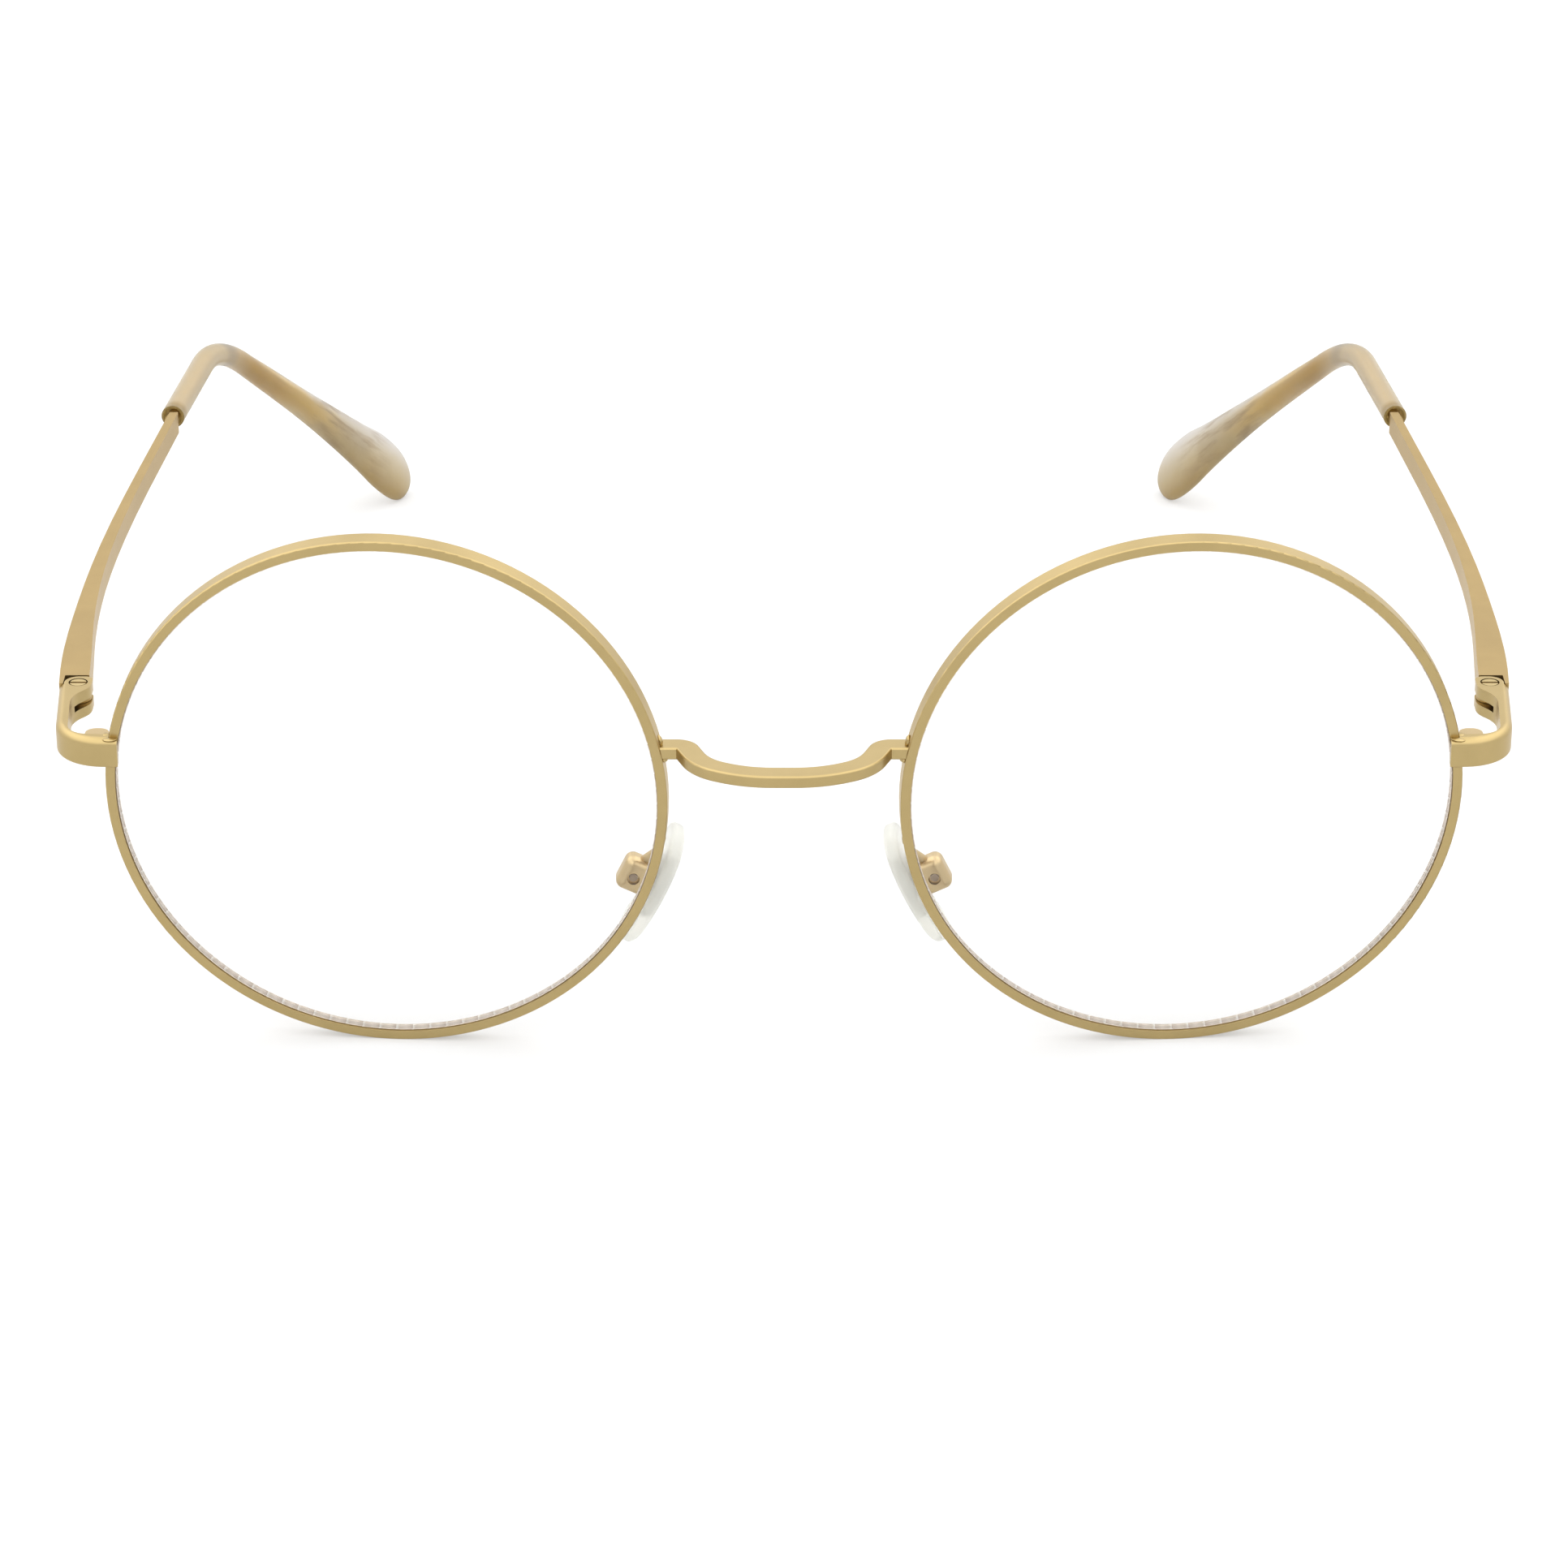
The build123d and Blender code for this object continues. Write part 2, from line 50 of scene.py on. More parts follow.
# Places on the frame, in millimetres, and its angles
FRONT_Y = -66.55                              # the rims' front faces
PANTOSCOPIC_TILT = math.radians(3.4)          # how far the tops of the rims lean forward
WRAP = math.radians(3.8)                      # how far each rim turns back at its outer side
LENS_EDGE_RADIUS = 25.0                       # outside this a lens is ground, not polished
LENS_FACETS = 100                             # marks that the grinding wheel leaves round a lens
EDGE_BLEND = 0.06                             # width over which the polish gives way to the grinding
EDGE_ROUGHNESS = 0.55
EDGE_CLEARNESS = 0.25
FACET_SHARE = 0.8                             # how much of an edge mark is the wheel's, and how much is grit
GRIT_SHARE = 0.3
TIP_CORNER = (62.6, FRONT_Y + 108.5, 30.28)   # where the tip's two straight parts would meet
TIP_AXIS = (-17.1, 30.05, -27.54)             # direction of its lower part

# Stretches of a tip, in millimetres along its lower part from the corner
SLEEVE_STARTS = (2.0, 7.0)
MATT_STARTS = (10.0, 26.0)
MILKY_STARTS = (12.0, 28.0)
PADDLE_STARTS = (15.0, 28.0)
STREAKS_START = (17.0, 24.0)
CORE_ENDS = (20.0, 31.0)
STREAKS_END = (36.0, 41.0)

# Heights across a tip, in millimetres above its middle
SLEEVE_LEVELS = (-3.0, 3.0)
PADDLE_LEVELS = (-3.2, 3.6)
CORE_LEVEL = -0.1
TIP_UNEVENNESS = 1.6                          # how far clouds in the plastic move these heights

# At a tip's mouth end, and at its paddle
TIP_ROUGHNESS = (0.28, 0.38)
TIP_CLEARNESS = (0.80, 0.50)

# How far a mark on a tip reaches, in millimetres: full up to the first, gone at the second
CORE_REACH = (0.5, 1.7)
BEND_SHADE_REACH = (1.2, 2.6)
MOUTH_SHADE_REACH = (0.9, 1.9)
BEND_SHADE_ALONG = 1.2                              # where the painted shade in the bend is centred, from the corner: along it and above it
BEND_SHADE_ABOVE = -0.4

# Brown fibres: the noise's scale along the tip and across it, and its values where a fibre fades in
FIBRE_ALONG = 0.12
FIBRE_ACROSS = 0.2
FIBRE_BAND = (0.47, 0.66)

# How strongly each mark shows
CORE_SHARE = 0.75
STREAK_SHARE = 0.7
BEND_SHADE_SHARE = 0.55
MOUTH_SHADE_SHARE = 0.85

# Refractive indexes
LENS_IOR = 1.35
TIP_IOR = 1.47
SILICONE_IOR = 1.36
INSERT_IOR = 1.49

# Plating: darkest and lightest tone, and mean roughness
PLATE_GOLD = ((0.418, 0.316, 0.142), (0.446, 0.338, 0.154), 0.33)
# the temples' plating is the same gold made darker: painted shade, so their sides look darker than the rims
TEMPLE_SHADED_GOLD = ((0.383, 0.270, 0.110), (0.410, 0.290, 0.119), 0.36)
CUP_GOLD = ((0.47, 0.360, 0.195), (0.51, 0.390, 0.215), 0.32)
SCREW_GOLD = ((0.48, 0.37, 0.17), (0.54, 0.42, 0.20), 0.33)
GRAIN_SPREAD = 0.05                           # how far the grain moves the roughness, either way
GRAZING_TINT = (0.96, 0.93, 0.88, 1.0)
LACQUER_WEIGHT = 0.06
LACQUER_ROUGHNESS = 0.3

# The other materials: colours from darkest to lightest, or by their place along a value
# darkened and browned: painted shade of the screws' recesses and a painted reflection of the gold around them
SHADED_STEEL_TONES = ((0.22, 0.165, 0.115), (0.33, 0.26, 0.19))
STEEL_ROUGHNESS = (0.30, 0.38)
SILICONE_TONES = ((0.87, 0.87, 0.82), (0.93, 0.93, 0.885))
INSERT_TONES = ((0.82, 0.82, 0.78), (0.90, 0.90, 0.86))
# the ground edge's colours along each facet: a painted glint at its start, then browns that are a painted
# reflection of the gold rim
LENS_EDGE_GLINT_AND_REFLECTION_STOPS = [(0.14, (1.0, 0.98, 0.94)), (0.30, (0.70, 0.62, 0.53)), (0.62, (0.81, 0.73, 0.65)),
                   (0.98, (0.60, 0.51, 0.43))]
TUBE_STOPS = [(0.3, (0.86, 0.73, 0.44)), (0.7, (0.92, 0.81, 0.55))]
# the tips' own honey and golden tints, with painted light: paler with a painted highlight at the top, darker
# below
SLEEVE_TINT_AND_LIGHT_STOPS = [(0.10, (0.72, 0.62, 0.42)), (0.34, (0.70, 0.52, 0.24)), (0.60, (0.74, 0.56, 0.28)),
                (0.78, (0.88, 0.84, 0.76))]
PADDLE_TINT_AND_LIGHT_STOPS = [(0.06, (0.37, 0.25, 0.08)), (0.30, (0.44, 0.34, 0.17)), (0.55, (0.51, 0.43, 0.29)),
                (0.90, (0.64, 0.61, 0.57))]
CORE_TONE = (0.66, 0.44, 0.08)
STREAK_TONE = (0.30, 0.20, 0.085)
# painted shade inside the tip's bend
BEND_SHADE_TONE = (0.25, 0.22, 0.19)
# painted shade at the tip's mouth
MOUTH_SHADE_TONE = (0.52, 0.37, 0.10)

# Brightness of the room against height, from level (0.5) to straight up (1.0)
SKY_STRENGTH = 2.2
SKY_BEHIND = [(0.5, 0.50), (0.57, 0.56), (0.69, 0.64), (0.78, 0.96), (0.92, 1.0)]
SKY_AHEAD = [(0.5, 0.46), (0.56, 0.50), (0.66, 0.78), (0.78, 0.98), (0.97, 0.98)]
SKY_ASIDE = [(0.02, 0.95), (0.13, 0.72), (0.32, 1.15), (1.0, 1.1)]    # factor against distance aside
SKY_TURN = (-0.35, 0.2)                       # where along Y the sky ahead gives way to the one behind

# Floor, in metres
FLOOR_HALF = 3.0
FLOOR_GREY = (0.40, 0.41)
FLOOR_GLOW = 0.38

# Camera: places in metres, lens and sensor in millimetres
CAMERA_AT = (0.0, -0.51970, 0.23866)
CAMERA_AIM = (0.0, -0.06655, 0.02735)
CAMERA_LENS = 124.6
CAMERA_SENSOR = 36.0

# Beads of solder on the left side: centre, half sizes along x, y and z, and lean in degrees
SOLDER = {
    "end_piece_bead": ((62.05, FRONT_Y + 1.05, 31.37), (0.65, 0.38, 0.12), 4.0),
    "end_piece_back_bead": ((62.45, FRONT_Y + 2.0, 31.2), (0.5, 0.7, 0.3), 0.0),
    "bridge_top_nub": ((11.35, FRONT_Y - 0.9, 32.15), (0.24, 0.42, 0.55), 12.0),
    "bridge_under_fillet": ((11.0, FRONT_Y - 0.85, 30.5), (0.42, 0.85, 0.5), -38.0),
    "bridge_back_fillet": ((11.15, FRONT_Y + 0.1, 31.15), (0.5, 0.4, 0.5), 0.0),
    "pad_arm_bead": ((11.5, FRONT_Y + 1.5, 21.1), (0.55, 0.75, 0.6), 0.0),
}
SOLDER_SEED_STEP = 3.7    # shifts the unevenness from one bead to the next
SOLDER_SWELL = 0.12       # unevenness of a bead's skin, as a share of its size
SOLDER_CELLS = 1.3        # cells of unevenness to a bead's half size
SOLDER_TAPER = 0.25       # how much flatter a bead gets towards +X


# Node helpers ---------------------------------------------------------------------------------

def new_material(name):
    """A node material with only its output, its shader and coordinates in millimetres."""
    material = bpy.data.materials.new(name)
    material.use_nodes = True
    tree = material.node_tree
    tree.nodes.clear()
    output = tree.nodes.new("ShaderNodeOutputMaterial")
    shader = tree.nodes.new("ShaderNodeBsdfPrincipled")
    tree.links.new(shader.outputs["BSDF"], output.inputs["Surface"])
    where = tree.nodes.new("ShaderNodeTexCoord")
    scale = tree.nodes.new("ShaderNodeVectorMath")
    scale.operation = "SCALE"
    scale.inputs["Scale"].default_value = 1 / MM
    tree.links.new(where.outputs["Object"], scale.inputs[0])
    return material, tree, shader, scale.outputs["Vector"]


def feed(tree, socket, value):
    """Links an output to a socket, or sets a constant on it."""
    if isinstance(value, bpy.types.NodeSocket):
        tree.links.new(value, socket)
    else:
        socket.default_value = value


def calc(tree, operation, first, second=0.0):
    node = tree.nodes.new("ShaderNodeMath")
    node.operation = operation
    feed(tree, node.inputs[0], first)
    feed(tree, node.inputs[1], second)
    return node.outputs[0]


def vector_calc(tree, operation, first, second, output="Vector"):
    node = tree.nodes.new("ShaderNodeVectorMath")
    node.operation = operation
    feed(tree, node.inputs[0], first)
    feed(tree, node.inputs[1], second)
    return node.outputs[output]


def noise(tree, place, scale, detail=2.0, roughness=0.5):
    """A noise value of about `scale` cells per millimetre."""
    texture = tree.nodes.new("ShaderNodeTexNoise")
    texture.inputs["Scale"].default_value = scale
    texture.inputs["Detail"].default_value = detail
    texture.inputs["Roughness"].default_value = roughness
    tree.links.new(place, texture.inputs["Vector"])
    return texture.outputs["Fac"]


def ramp(tree, value, stops):
    """Colours along a value: stops are (position, colour)."""
    node = tree.nodes.new("ShaderNodeValToRGB")
    band = node.color_ramp
    while len(band.elements) < len(stops):
        band.elements.new(0.5)
    for element, (position, colour) in zip(band.elements, stops):
        element.position = position
        element.color = (*colour, 1.0)
    tree.links.new(value, node.inputs["Fac"])
    return node.outputs["Color"]


def grey_ramp(tree, value, stops):
    """A grey along a value: stops are (position, brightness)."""
    return ramp(tree, value, [(position, (grey, grey, grey)) for position, grey in stops])


def span(tree, value, low, high, start=0.0, end=1.0):
    """The range start..end of a value spread between low and high."""
    node = tree.nodes.new("ShaderNodeMapRange")
    node.inputs["From Min"].default_value = start
    node.inputs["From Max"].default_value = end
    node.inputs["To Min"].default_value = low
    node.inputs["To Max"].default_value = high
    tree.links.new(value, node.inputs["Value"])
    return node.outputs["Result"]


def rise(tree, value, start, end):
    """Grows from 0 to 1 between start and end."""
    return span(tree, value, 0.0, 1.0, start, end)


def fall(tree, value, start, end):
    """Drops from 1 to 0 between start and end."""
    return span(tree, value, 1.0, 0.0, start, end)


def blend_colour(tree, share, first, second):
    node = tree.nodes.new("ShaderNodeMix")
    node.data_type = "RGBA"
    feed(tree, node.inputs["Factor"], share)
    for socket, value in ((node.inputs[6], first), (node.inputs[7], second)):
        feed(tree, socket, value if isinstance(value, bpy.types.NodeSocket) else (*value, 1.0))
    return node.outputs[2]


def bump(tree, shader, height, strength, distance):
    node = tree.nodes.new("ShaderNodeBump")
    node.inputs["Strength"].default_value = strength
    node.inputs["Distance"].default_value = distance
    tree.links.new(height, node.inputs["Height"])
    tree.links.new(node.outputs["Normal"], shader.inputs["Normal"])


def separate(tree, vector):
    node = tree.nodes.new("ShaderNodeSeparateXYZ")
    tree.links.new(vector, node.inputs[0])
    return node.outputs


# Materials ------------------------------------------------------------------------------------

def satin_gold(name, dark, light, rough):
    """Fine blasted and lacquered gold plating."""
    material, tree, shader, place = new_material(name)
    tone = noise(tree, place, scale=0.3, detail=3.0)
    tree.links.new(ramp(tree, tone, [(0.3, dark), (0.7, light)]), shader.inputs["Base Color"])
    shader.inputs["Metallic"].default_value = 1.0
    grain = noise(tree, place, scale=9.0, detail=3.0, roughness=0.6)
    tree.links.new(span(tree, grain, rough - GRAIN_SPREAD, rough + GRAIN_SPREAD), shader.inputs["Roughness"])
    shader.inputs["Specular Tint"].default_value = GRAZING_TINT
    shader.inputs["Coat Weight"].default_value = LACQUER_WEIGHT
    shader.inputs["Coat Roughness"].default_value = LACQUER_ROUGHNESS
    bump(tree, shader, grain, strength=0.12, distance=0.01 * MM)
    return material


def lens_axes(side):
    """The lens's centre, and its inward and upward directions."""
    low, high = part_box(f"{side}_rim")
    centre = (Vector(low) + Vector(high)) / 2
    up = Vector((0, -math.sin(PANTOSCOPIC_TILT), math.cos(PANTOSCOPIC_TILT)))
    inward = Vector((-SIDES[side] * math.cos(WRAP), -math.sin(WRAP) * math.cos(PANTOSCOPIC_TILT),
                     -math.sin(WRAP) * math.sin(PANTOSCOPIC_TILT)))
    return centre, inward, up


def clear_plastic(side):
    """A clear demo lens, polished on its faces and ground on its edge."""
    material, tree, shader, place = new_material(f"{side}_demo_lens")
    centre, inward, up = lens_axes(side)
    local = vector_calc(tree, "SUBTRACT", place, tuple(centre / MM))
    across = vector_calc(tree, "DOT_PRODUCT", local, tuple(inward), "Value")
    upward = vector_calc(tree, "DOT_PRODUCT", local, tuple(up), "Value")
    radius = calc(tree, "SQRT", calc(tree, "ADD", calc(tree, "MULTIPLY", across, across),
                                     calc(tree, "MULTIPLY", upward, upward)))
    ground = rise(tree, radius, LENS_EDGE_RADIUS, LENS_EDGE_RADIUS + EDGE_BLEND)
    angle = calc(tree, "ARCTAN2", upward, across)
    facet = calc(tree, "FRACT", calc(tree, "MULTIPLY", angle, LENS_FACETS / (2 * math.pi)))
    grit = noise(tree, place, scale=3.0, detail=4.0, roughness=0.7)
    mark = calc(tree, "ADD", calc(tree, "MULTIPLY", facet, FACET_SHARE),
                calc(tree, "MULTIPLY", grit, GRIT_SHARE))
    # painted light on the ground edge: a glint at each facet's start, and the gold rim's reflection in brown
    edge_colour_and_glints = ramp(tree, mark, LENS_EDGE_GLINT_AND_REFLECTION_STOPS)
    smudge = noise(tree, place, scale=0.05, detail=4.0)
    face_colour = ramp(tree, smudge, [(0.3, (0.99, 0.99, 0.985)), (0.7, (1.0, 1.0, 1.0))])
    tree.links.new(blend_colour(tree, ground, face_colour, edge_colour_and_glints), shader.inputs["Base Color"])
    tree.links.new(span(tree, ground, 0.0, EDGE_ROUGHNESS), shader.inputs["Roughness"])
    tree.links.new(span(tree, ground, 1.0, EDGE_CLEARNESS), shader.inputs["Transmission Weight"])
    shader.inputs["IOR"].default_value = LENS_IOR
    return material


def tip_streaks(tree, local, distance, level):
    """How strongly brown fibres show, along the middle of the paddle."""
    side_on = vector_calc(tree, "DOT_PRODUCT", local, (1.0, 0.0, 0.0), "Value")
    fibre_place = tree.nodes.new("ShaderNodeCombineXYZ")
    tree.links.new(calc(tree, "MULTIPLY", distance, FIBRE_ALONG), fibre_place.inputs[0])
    tree.links.new(level, fibre_place.inputs[1])
    tree.links.new(calc(tree, "MULTIPLY", side_on, FIBRE_ACROSS), fibre_place.inputs[2])
    fibre = noise(tree, fibre_place.outputs[0], scale=1.1, detail=3.0, roughness=0.6)
    streak = rise(tree, fibre, *FIBRE_BAND)
    window = calc(tree, "MULTIPLY", rise(tree, distance, *STREAKS_START), fall(tree, distance, *STREAKS_END))
    return calc(tree, "MULTIPLY", streak, calc(tree, "MULTIPLY", window, STREAK_SHARE))


def tip_plastic(side):
    """Milky acetate: honey over the core and golden in the paddle, with painted light across both: pale with
    a painted highlight on top, and darker below as painted shade.
    """
    material, tree, shader, place = new_material(f"{side}_clear_tip")
    corner = Vector((SIDES[side] * TIP_CORNER[0], *TIP_CORNER[1:]))
    along = Vector((SIDES[side] * TIP_AXIS[0], *TIP_AXIS[1:])).normalized()
    up = Vector((0, -along.z, along.y)).normalized()
    local = vector_calc(tree, "SUBTRACT", place, tuple(corner))
    distance = vector_calc(tree, "DOT_PRODUCT", local, tuple(along), "Value")
    level = vector_calc(tree, "DOT_PRODUCT", local, tuple(up), "Value")
    cloud = noise(tree, place, scale=0.25, detail=3.0)
    unevenness = calc(tree, "MULTIPLY", calc(tree, "SUBTRACT", cloud, 0.5), TIP_UNEVENNESS)
    height = calc(tree, "ADD", level, unevenness)
    tube = ramp(tree, cloud, TUBE_STOPS)
    # painted light across the tip: pale and highlighted on top, darker below
    sleeve = ramp(tree, rise(tree, height, *SLEEVE_LEVELS), SLEEVE_TINT_AND_LIGHT_STOPS)
    paddle = ramp(tree, rise(tree, height, *PADDLE_LEVELS), PADDLE_TINT_AND_LIGHT_STOPS)
    tone = blend_colour(tree, rise(tree, distance, *SLEEVE_STARTS), tube, sleeve)
    tone = blend_colour(tree, rise(tree, distance, *PADDLE_STARTS), tone, paddle)
    # the core's gold, seen through the middle
    off_middle = calc(tree, "ABSOLUTE", calc(tree, "SUBTRACT", height, CORE_LEVEL))
    middle = fall(tree, off_middle, *CORE_REACH)
    length = calc(tree, "MULTIPLY", rise(tree, distance, *SLEEVE_STARTS), fall(tree, distance, *CORE_ENDS))
    core = calc(tree, "MULTIPLY", calc(tree, "MULTIPLY", middle, length), CORE_SHARE)
    tone = blend_colour(tree, core, tone, CORE_TONE)
    tone = blend_colour(tree, tip_streaks(tree, local, distance, level), tone, STREAK_TONE)
    # painted shade: a dark patch inside the bend
    bend_shade_place = corner + up * BEND_SHADE_ABOVE + along * BEND_SHADE_ALONG
    bend_shade_distance = vector_calc(tree, "DISTANCE", place, tuple(bend_shade_place), "Value")
    tone = blend_colour(tree, span(tree, bend_shade_distance, BEND_SHADE_SHARE, 0.0, *BEND_SHADE_REACH), tone, BEND_SHADE_TONE)
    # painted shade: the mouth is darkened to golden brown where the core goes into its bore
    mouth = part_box(f"{side}_temple_tip")[0][1] / MM
    from_mouth = [mouth + reach for reach in MOUTH_SHADE_REACH]
    mouth_shade = span(tree, separate(tree, place)["Y"], MOUTH_SHADE_SHARE, 0.0, *from_mouth)
    tone = blend_colour(tree, mouth_shade, tone, MOUTH_SHADE_TONE)
    tree.links.new(tone, shader.inputs["Base Color"])
    matt = span(tree, distance, *TIP_ROUGHNESS, *MATT_STARTS)
    tree.links.new(calc(tree, "ADD", matt, calc(tree, "MULTIPLY", cloud, 0.05)), shader.inputs["Roughness"])
    clear = span(tree, distance, *TIP_CLEARNESS, *MILKY_STARTS)
    milk = calc(tree, "MULTIPLY", calc(tree, "SUBTRACT", cloud, 0.5), 0.2)
    tree.links.new(calc(tree, "ADD", clear, milk), shader.inputs["Transmission Weight"])
    shader.inputs["IOR"].default_value = TIP_IOR
    bump(tree, shader, noise(tree, place, scale=1.2), strength=0.05, distance=0.05 * MM)
    return material


def translucent(name, tones, ior, cells, rough, clear):
    """A cloudy see-through plastic: tones, roughness and clearness each vary between two values."""
    material, tree, shader, place = new_material(name)
    cloud = noise(tree, place, cells, detail=3.0)
    tree.links.new(ramp(tree, cloud, [(0.3, tones[0]), (0.7, tones[1])]), shader.inputs["Base Color"])
    tree.links.new(span(tree, cloud, *rough), shader.inputs["Roughness"])
    tree.links.new(span(tree, cloud, *clear), shader.inputs["Transmission Weight"])
    shader.inputs["IOR"].default_value = ior
    return material, tree, shader, place


def pad_silicone():
    """Soft translucent silicone with a matt moulded skin."""
    material, tree, shader, place = translucent("clear_pad", SILICONE_TONES, SILICONE_IOR, cells=0.4,
                                                rough=(0.3, 0.42), clear=(0.62, 0.74))
    bump(tree, shader, noise(tree, place, scale=2.0, detail=3.0), strength=0.08, distance=0.05 * MM)
    return material


def insert_plastic():
    """The hard clear plate moulded into a pad."""
    return translucent("insert_plastic", INSERT_TONES, INSERT_IOR, cells=0.6,
                       rough=(0.15, 0.3), clear=(0.4, 0.55))[0]


def steel():
    """Steel of the small screws, darkened and browned: painted shade of the recesses they sit in, and a
    painted reflection of the gold around them.
    """
    material, tree, shader, place = new_material("steel")
    tone = noise(tree, place, scale=1.5, detail=3.0)
    tree.links.new(ramp(tree, tone, [(0.3, SHADED_STEEL_TONES[0]), (0.7, SHADED_STEEL_TONES[1])]),
                   shader.inputs["Base Color"])
    shader.inputs["Metallic"].default_value = 1.0
    grain = noise(tree, place, scale=8.0, detail=3.0, roughness=0.6)
    tree.links.new(span(tree, grain, *STEEL_ROUGHNESS), shader.inputs["Roughness"])
    return material


def paint(name, material):
    data = nodes[name].data
    data.materials.clear()
    data.materials.append(material)


gold = satin_gold("satin_gold", *PLATE_GOLD)
# painted shade: the temples get a darker copy of the plating
shaded_gold_temple = satin_gold("satin_gold_temple_shaded", *TEMPLE_SHADED_GOLD)
gold_cup = satin_gold("satin_gold_cup", *CUP_GOLD)
gold_screw = satin_gold("satin_gold_screw", *SCREW_GOLD)
shaded_silver = steel()
silicone = pad_silicone()
insert = insert_plastic()
paint("bridge", gold)
for side in SIDES:
    for part in ("rim", "end_piece"):
        paint(f"{side}_{part}", gold)
    for part in ("rim_lock_upper", "rim_lock_lower", "pad_arm", "pad_box"):
        paint(f"{side}_{part}", gold_cup)
    paint(f"{side}_temple", shaded_gold_temple)
    paint(f"{side}_hinge_screw", gold_screw)
    paint(f"{side}_lens", clear_plastic(side))
    for part in ("rim_lock_screw", "pad_screw"):
        paint(f"{side}_{part}", shaded_silver)
    paint(f"{side}_pad_insert", insert)


# Moulded pieces: the outside of a CAD solid, closed over the core it is moulded on --------------

WALL_REACH = 0.08            # a face this near the core, in millimetres, and facing it is the wall they share
FACING = -0.5                # two faces face each other if their normals' dot product is below this
WELD = 0.0005                # corners nearer than this, in millimetres, are joined
CREASE = math.radians(35)    # edges that bend more than this stay sharp


def moulded(name, core_name, node_name, material, body):
    """Replaces a CAD node with its own outer skin, closed where its inner wall was."""
    core = bmesh.new()
    core.from_mesh(nodes[core_name].data)
    core_tree = BVHTree.FromBMesh(core)
    shell = bmesh.new()
    shell.from_mesh(nodes[node_name].data)
    bmesh.ops.remove_doubles(shell, verts=shell.verts, dist=WELD * MM)
    shared = []
    for face in shell.faces:
        nearest, normal, _, _ = core_tree.find_nearest(face.calc_center_median(), WALL_REACH * MM)
        if nearest is not None and normal.dot(face.normal) < FACING:
            shared.append(face)
    bmesh.ops.delete(shell, geom=shared, context="FACES")
    hole_edges = [edge for edge in shell.edges if edge.is_boundary]
    bmesh.ops.holes_fill(shell, edges=hole_edges, sides=0)
    bmesh.ops.recalc_face_normals(shell, faces=shell.faces)
    for face in shell.faces:
        face.smooth = True
        face.material_index = 0
    mesh = bpy.data.meshes.new(name)
    shell.to_mesh(mesh)
    mesh.set_sharp_from_angle(angle=CREASE)
    shell.free()
    core.free()
    thing = bpy.data.objects.new(name, mesh)
    bpy.context.scene.collection.objects.link(thing)
    mesh.materials.append(material)
    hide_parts(node_name)
    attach(thing, body)
    return thing


for side in SIDES:
    tip = moulded(f"{side}_tip_sleeve", f"{side}_temple", f"{side}_temple_tip", tip_plastic(side),
                  f"{side}_temple")
    pad = moulded(f"{side}_pad_skin", f"{side}_pad_insert", f"{side}_nose_pad", silicone, f"{side}_pad")


# Solder: small melted beads where the frame's parts are brazed together --------------------------

def solder(name, centre, radii, lean, seed):
    """A bead of solder: a squashed drop with an uneven melted skin, let into the parts it joins."""
    bead = bmesh.new()
    bmesh.ops.create_icosphere(bead, subdivisions=4, radius=1.0)
    for vert in bead.verts:
        point = vert.co.copy()
        swell = 1 + SOLDER_SWELL * fractal(point * SOLDER_CELLS + Vector((seed, 0, 0)), 1.0, 2.0, 3)
        point *= swell
        point.z = point.z * (1 - SOLDER_TAPER * point.x)
        vert.co = Vector((point.x * radii[0], point.y * radii[1], point.z * radii[2])) * MM
    for face in bead.faces:
        face.smooth = True
    mesh = bpy.data.meshes.new(name)
    bead.to_mesh(mesh)
    bead.free()
    mesh.materials.append(gold)
    thing = bpy.data.objects.new(name, mesh)
    bpy.context.scene.collection.objects.link(thing)
    thing.location = Vector(centre) * MM
    thing.rotation_euler = (0, math.radians(lean), 0)
    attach(thing, "front")


for side, sign in SIDES.items():
    for count, (bead, (centre, radii, lean)) in enumerate(SOLDER.items()):
        solder(f"{side}_{bead}", (sign * centre[0], *centre[1:]), radii, sign * lean,
               SOLDER_SEED_STEP * count)


# Stage, light and camera ----------------------------------------------------------------------

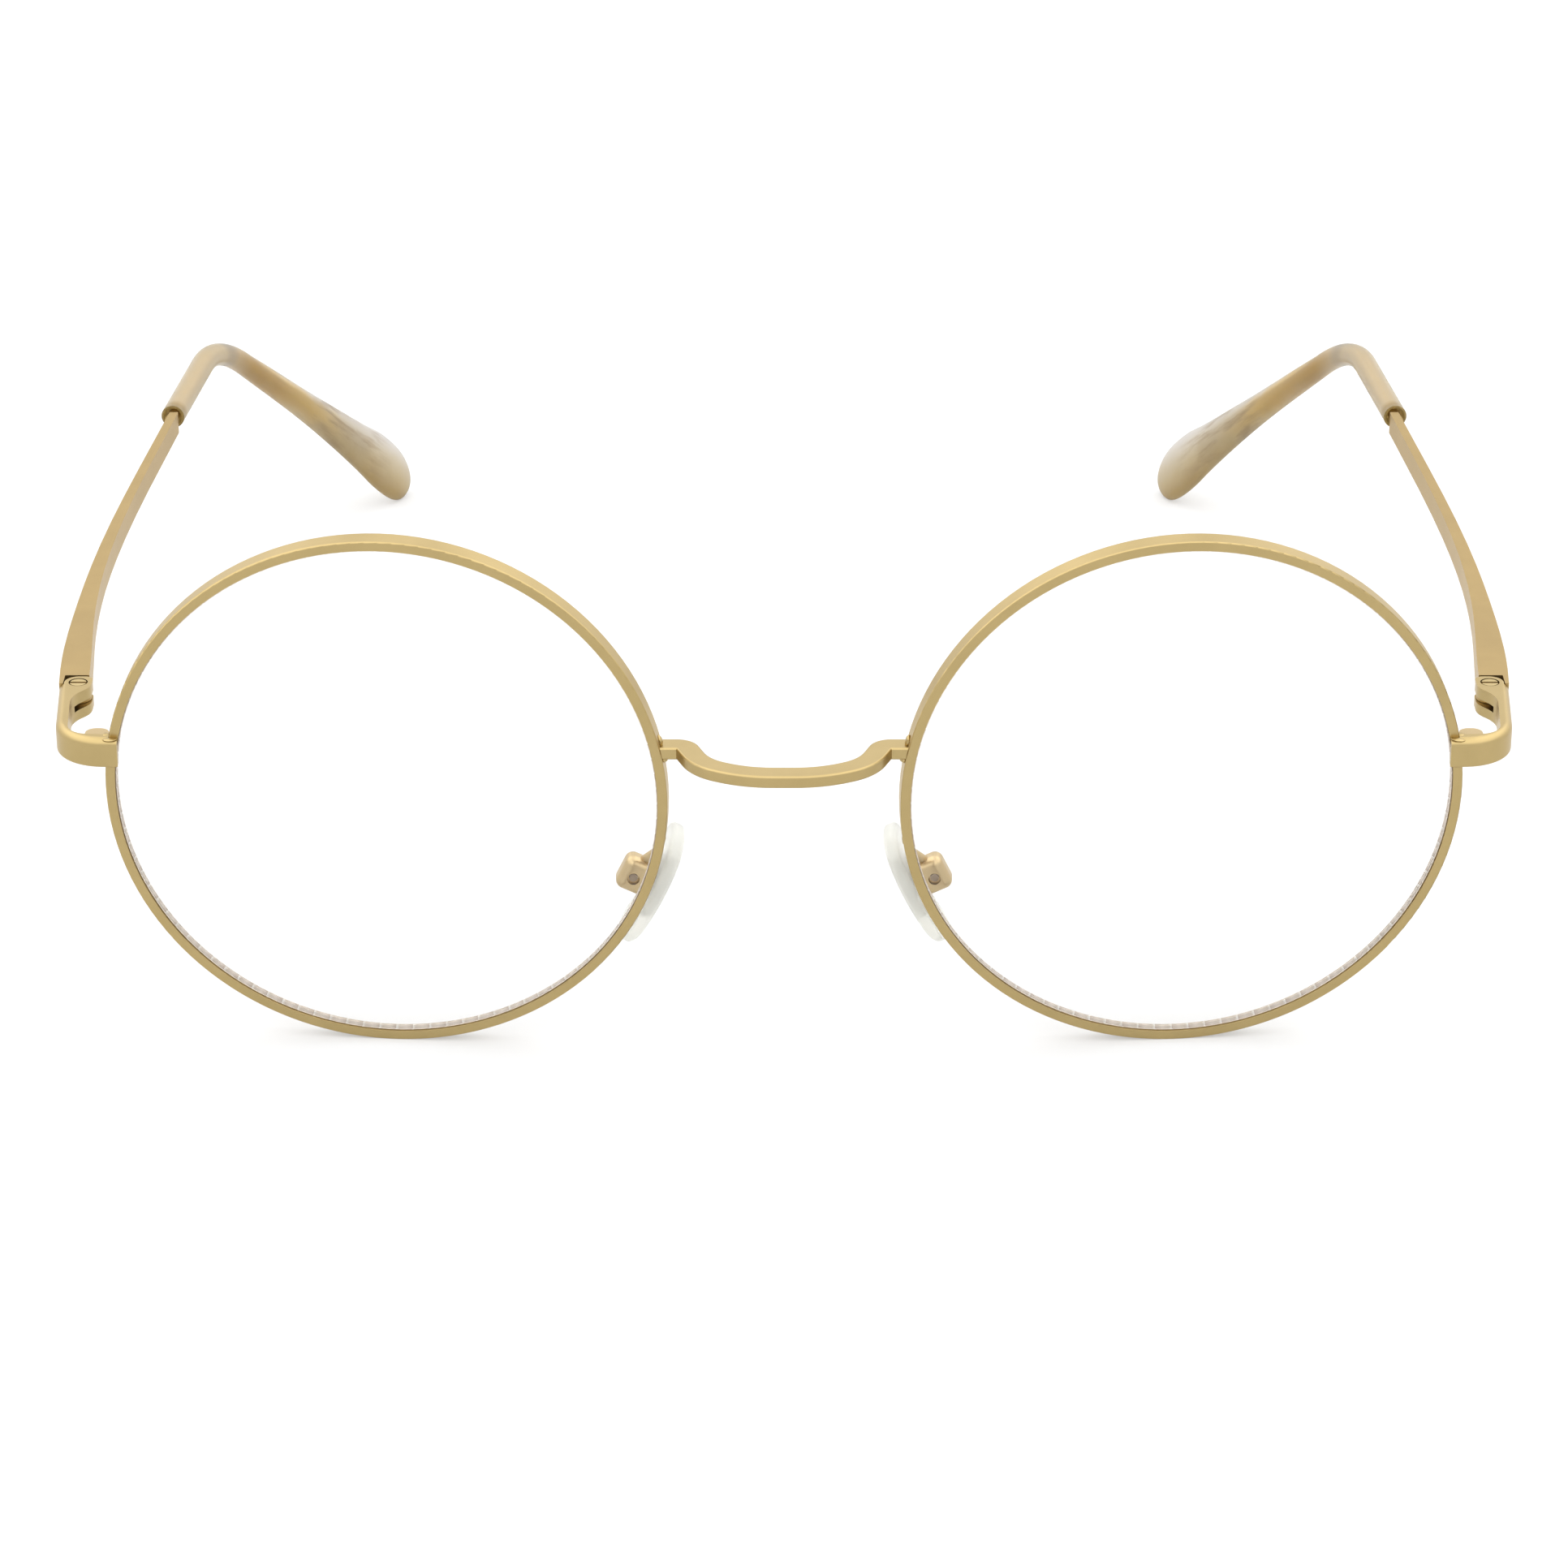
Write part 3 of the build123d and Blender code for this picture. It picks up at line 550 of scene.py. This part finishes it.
def studio_world():
    """A soft white room: brightest overhead, and about half as bright level with the floor."""
    world = bpy.data.worlds.new("studio")
    bpy.context.scene.world = world
    world.use_nodes = True
    tree = world.node_tree
    background = tree.nodes["Background"]
    where = tree.nodes.new("ShaderNodeTexCoord")
    parts = separate(tree, where.outputs["Generated"])
    height = span(tree, parts["Z"], 0.0, 1.0, -1.0, 1.0)
    behind = grey_ramp(tree, height, SKY_BEHIND)
    ahead = grey_ramp(tree, height, SKY_AHEAD)
    aside = grey_ramp(tree, calc(tree, "ABSOLUTE", parts["X"]), SKY_ASIDE)
    back = rise(tree, parts["Y"], *SKY_TURN)
    shade = vector_calc(tree, "MULTIPLY", behind, aside)
    tree.links.new(blend_colour(tree, back, ahead, shade), background.inputs["Color"])
    background.inputs["Strength"].default_value = SKY_STRENGTH


def floor():
    corners = [(-FLOOR_HALF, -FLOOR_HALF, 0), (FLOOR_HALF, -FLOOR_HALF, 0), (FLOOR_HALF, FLOOR_HALF, 0),
               (-FLOOR_HALF, FLOOR_HALF, 0)]
    mesh = bpy.data.meshes.new("floor")
    mesh.from_pydata(corners, [], [(0, 1, 2, 3)])
    thing = bpy.data.objects.new("floor", mesh)
    bpy.context.scene.collection.objects.link(thing)
    material, tree, shader, place = new_material("pale_floor")
    tone = noise(tree, place, scale=0.02, detail=3.0)
    tree.links.new(grey_ramp(tree, tone, [(0.3, FLOOR_GREY[0]), (0.7, FLOOR_GREY[1])]),
                   shader.inputs["Base Color"])
    shader.inputs["Roughness"].default_value = 0.9
    shader.inputs["Specular IOR Level"].default_value = 0.0
    shader.inputs["Emission Color"].default_value = (1.0, 1.0, 1.0, 1.0)
    shader.inputs["Emission Strength"].default_value = FLOOR_GLOW
    mesh.materials.append(material)


floor()
studio_world()

camera_data = bpy.data.cameras.new("camera")
camera_data.lens = CAMERA_LENS
camera_data.sensor_width = CAMERA_SENSOR
camera = bpy.data.objects.new("camera", camera_data)
bpy.context.scene.collection.objects.link(camera)
camera.location = CAMERA_AT
camera.rotation_euler = (Vector(CAMERA_AIM) - camera.location).to_track_quat("-Z", "Y").to_euler()
bpy.context.scene.camera = camera
bpy.context.scene.view_settings.view_transform = "Standard"
